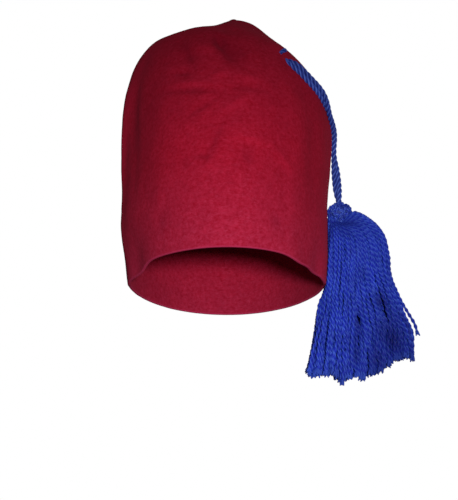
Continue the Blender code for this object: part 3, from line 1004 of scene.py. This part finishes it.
def gather(x, y, z):
    """Draws a strand's points into the middle of a tuft, more so near its end."""
    pull = np.clip((end_height(x) + TUFT_HEIGHT - z) / TUFT_HEIGHT, 0, 1) * TUFT_PULL
    tuft = tau * (x - TUFT_MIDDLE + TUFT_SLANT * y) / TUFT_SIZE
    x -= pull * TUFT_SIZE / tau * np.sin(tuft)
    y -= pull * TUFT_SIZE / tau * np.sin(tau * (y + TUFT_SLANT * x) / TUFT_SIZE)


def part(x, y, z, tone_and_shade, reach):
    """Pushes a strand aside and shades it at the table's places, as far back as reach."""
    for gap in PARTINGS:
        lean = radians(gap.lean)
        dx, dz = x - gap.x, z - gap.height
        run = (dz * cos(lean) + dx * sin(lean)) / gap.length
        side = (dx * cos(lean) - dz * sin(lean)) / gap.width
        near = np.exp(-run ** 2 - side ** 2) * (y < reach)
        x += np.tanh(side * PARTING_SHARPNESS) * gap.push * near
        y += SHADED_DEPTH * gap.shade * near
        tone_and_shade *= 1 - gap.shade * near


def points_left(x, y, z, chance):
    """How many of a strand's points are left when its end is cut."""
    cut = end_height(x) + END_SLOPE * (y - END_SLOPE_MIDDLE) + chance.uniform(-END_SHIFT, END_SHIFT)
    across, back = END_WAVE_CELLS
    cut = cut + END_WAVE * noise.noise(Vector((x[-1] * across, y[-1] * back, END_WAVE_ROW)))
    cut = cut - TUFT_SCALLOP * np.cos(tau * (x - TUFT_MIDDLE) / TUFT_SIZE)
    below = np.nonzero(z < cut + PLY_END_LENGTH * PLY_END_HANGING)[0]
    return max(below[0] if len(below) else len(x), STRAND_FEWEST)


def strand_line(rows, angle, share, chance):
    """The line that one strand follows from under the head, and its tone and painted shade along it.
    """
    height, left, right, front, back, lift = rows.T
    power = SKIRT_SQUARENESS
    squarer = (abs(cos(angle)) ** power + abs(sin(angle)) ** power) ** (-1 / power)
    free = np.clip((rows[0][0] - height) / FREE_AFTER, 0, 1)
    across = cos(angle) * share * squarer + chance.uniform(-DRIFT_ACROSS, DRIFT_ACROSS) * free
    depth = sin(angle) * share * squarer + chance.uniform(-DRIFT_DEPTH, DRIFT_DEPTH) * free
    limit = np.maximum(1, np.hypot(across, depth) / DRIFT_LIMIT)
    across, depth = across / limit, depth / limit
    inset = STRAND_RADIUS_TOP
    x = (left + right) / 2 + across * ((right - left) / 2 - inset)
    y = (front + back) / 2 + depth * ((back - front) / 2 - inset)
    high_side = (np.maximum(0, across) ** 2 + np.maximum(0, depth) ** 2
                 + LEFT_LIFT * np.minimum(0, across) ** 2)
    z = height + lift * np.minimum(1, high_side)
    column = chance.random() * NOISE_LENGTH
    # painted shade: strands further in are darker
    inside = INNER_STRAND_SHADE + (1 - INNER_STRAND_SHADE) * share ** 2
    tone_and_shade = np.full(len(x), inside * chance.uniform(*TONES))
    wander(x, y, tone_and_shade, height, free, angle, column)
    x = np.clip(x, left + inset, right - inset)
    gather(x, y, z)
    part(x, y, z, tone_and_shade, front * (1 - PARTING_REACH) + back * PARTING_REACH)
    stop = points_left(x, y, z, chance)
    return np.stack([x, y, z], 1)[:stop], tone_and_shade[:stop]


def off_the_felt(line, felt):
    """The strand's line, moved out where it would lie in the felt or inside the hat."""
    clear = STRAND_RADIUS_TOP + STRAND_CLEARANCE
    shifts = np.zeros_like(line)
    for i, point in enumerate(line):
        if point[2] < RIM_PASSED:
            break
        place, normal, _, _ = felt.find_nearest(Vector(point))
        outward = Vector((normal.x, normal.y, 0)).normalized()
        missing = clear - (Vector(point) - place).dot(normal)
        shifts[i] = np.array(outward) * max(0.0, missing)
    below = (line[i:, 2] - line[i, 2]) / FELT_FADES_OVER
    shifts[i:] = shifts[i - 1] * np.exp(-below ** 2)[:, None]
    return eased(line + eased(shifts, SHIFT_EASING), LINE_EASING)


def add_strand(yarn, line, tone_and_shade, chance):
    """A twisted strand that loosens downwards, and its frayed plies at the cut end."""
    along = distances(line)
    even, wanted = resample(line, STRAND_RING_SPACING)
    share = np.clip(wanted / STRAND_LOOSENS_OVER, 0, 1)
    radius = STRAND_RADIUS_TOP + (STRAND_RADIUS_END - STRAND_RADIUS_TOP) * share
    radius = radius * chance.uniform(*STRAND_SIZES)
    pitch = STRAND_PITCH_TOP + (STRAND_PITCH_END - STRAND_PITCH_TOP) * share
    tones = np.interp(wanted, along, tone_and_shade)
    yarn.add(even, STRAND_SIDE, radius, 2, pitch * chance.uniform(*STRAND_PITCHES), tones,
             points=STRAND_POINTS, hand=-1)
    tangent = unit(even[-1] - even[-6])
    start = even[-1] - tangent * PLY_END_START
    turn = chance.uniform(0, tau)
    steps = np.linspace(0, 1, PLY_END_RINGS)[:, None]
    for i in range(PLY_ENDS):
        angle = turn + tau * i / PLY_ENDS
        away = np.array((cos(angle), sin(angle), 0))
        length = PLY_END_LENGTH * chance.uniform(*PLY_END_LENGTHS)
        spread = PLY_END_APART + PLY_END_SPREAD * steps ** 2
        ply = start + tangent * length * steps + away * spread
        yarn.add(ply, STRAND_SIDE, radius[-1] * PLY_END_RADIUS, 1, 1.0, tones[-1] * PLY_END_TONE,
                 points=PLY_END_POINTS, hand=-1, blunt=PLY_END_BLUNT)


def make_skirt(felt, finish):
    """The hanging yarn, its strands dealt out to a few joined meshes."""
    chance = random.Random(SKIRT_SEED)
    rows = smooth_table(SKIRT_RINGS, STRAND_SAMPLES)
    seats = strand_seats(chance)
    chance.shuffle(seats)
    per_piece = -(-len(seats) // PIECES_OF_SKIRT)
    pieces = []
    for first in range(0, len(seats), per_piece):
        yarn = Yarn()
        for angle, share in seats[first:first + per_piece]:
            line, tone_and_shade = strand_line(rows, angle, share, chance)
            add_strand(yarn, off_the_felt(line, felt), tone_and_shade, chance)
        if first == 0:
            line = smooth_table(STRAY_STRAND, ROUTE_SAMPLES)
            add_strand(yarn, line, np.full(len(line), STRAY_TONE), chance)
        piece = yarn.build(f"hanging_yarn_{len(pieces) + 1}", finish)
        pieces.append(piece)
    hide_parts("tassel_skirt")
    return pieces


def main():
    noise.seed_set(NOISE_SEED)
    make_camera()
    felt_finish = felt_material()
    cord_finish = yarn_material("blue cord", groove_shade=(0.001, 0.002, 0.17, 1),
                                lit=(0.165, 0.300, 1.0, 1), seed=0.0, hollow=0.27)
    head_finish = yarn_material("blue knotted yarn", groove_shade=(0.001, 0.003, 0.46, 1),
                                lit=(0.215, 0.430, 1.0, 1), seed=4.0, hollow=0.24)
    skirt_finish = yarn_material("blue hanging yarn", groove_shade=(0.001, 0.005, 0.42, 1),
                                 lit=(0.105, 0.238, 0.82, 1), seed=8.0, hollow=0.25)
    outer, pressed = felt_surface()
    felt = tree_of_rings(outer)
    rope, path = make_cord(felt, cord_finish)
    stitch = make_stitch(felt, cord_finish)
    head = make_head(head_finish)
    skirt = make_skirt(felt, skirt_finish)
    make_crown(outer, pressed, felt_finish)
    make_floor()
    make_light()


main()
